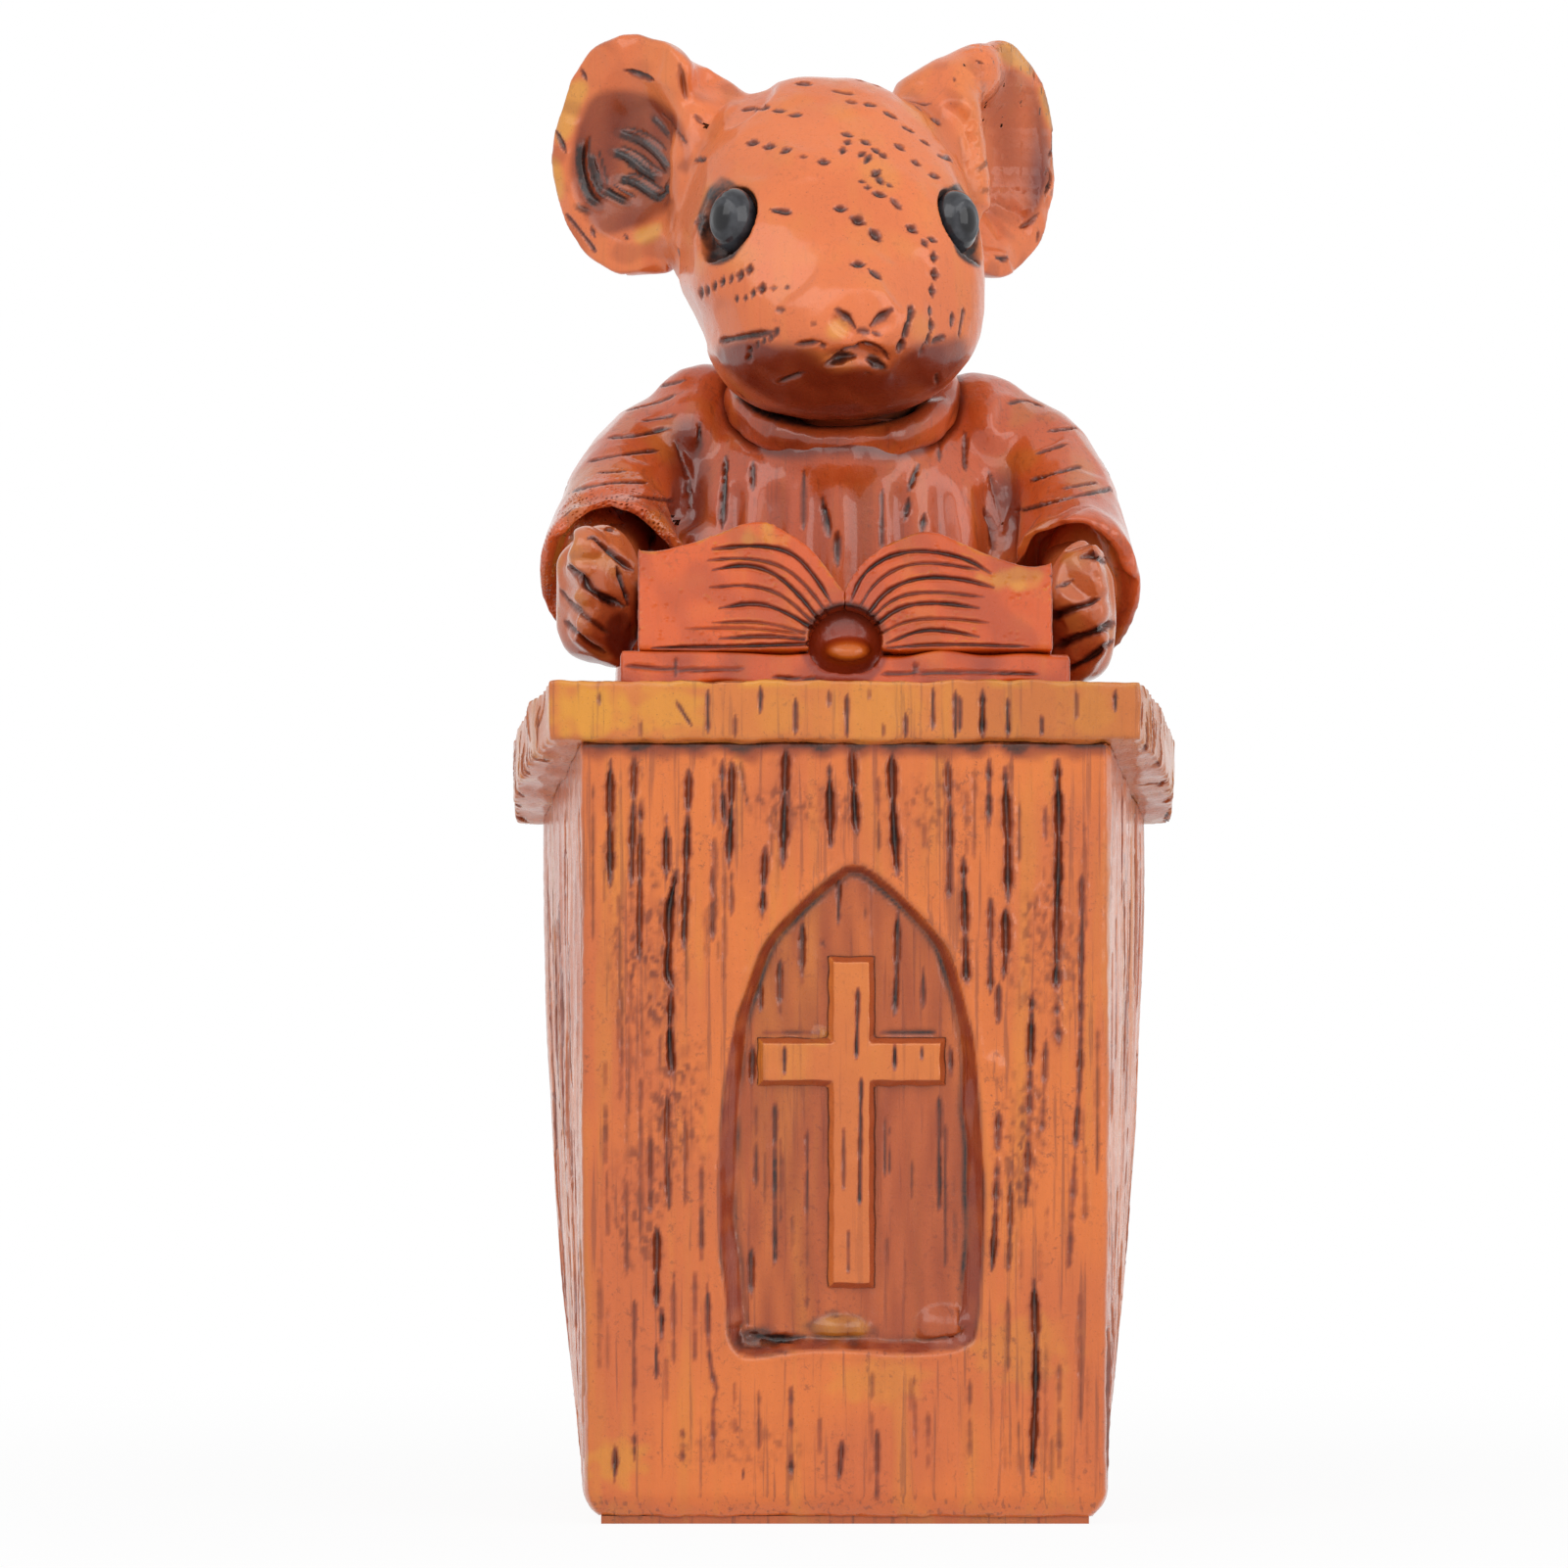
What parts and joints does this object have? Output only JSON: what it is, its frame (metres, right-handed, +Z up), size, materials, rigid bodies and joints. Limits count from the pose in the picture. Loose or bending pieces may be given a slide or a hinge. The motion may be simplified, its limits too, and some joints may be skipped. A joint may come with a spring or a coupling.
{
  "type": "mouse figurine",
  "caption": "Glossy carved-wood-look ornament of a robed mouse reading an open book at a sloping pulpit with an arched niche and cross.",
  "frame": {"origin": "on the table, under the middle of the figure's bounding box", "axes": "+Z up, -Y towards the front of the pulpit, +X to the right as seen from the front"},
  "size_m": [0.0424, 0.0444, 0.0954],
  "materials": {
    "resin_pulpit": "gloss",
    "resin_book": "gloss",
    "resin_robe": "gloss",
    "resin_fur": "gloss",
    "eye_bead": "gloss",
    "resin_base": "gloss"
  },
  "bodies": {
    "root": {"pulpit_body": "resin_pulpit", "niche_cross": "resin_pulpit", "desk_top": "resin_pulpit", "book_cover": "resin_book", "book_pages_left": "resin_book", "book_pages_right": "resin_book", "robe_body": "resin_robe", "collar": "resin_robe", "sleeve_left": "resin_robe", "sleeve_right": "resin_robe", "hand_left": "resin_fur", "hand_right": "resin_fur", "head": "resin_fur", "ear_left": "resin_fur", "ear_right": "resin_fur", "tail": "resin_fur", "eye_left": "eye_bead", "eye_right": "eye_bead", "base_plate": "resin_base"}
  },
  "joints": []
}
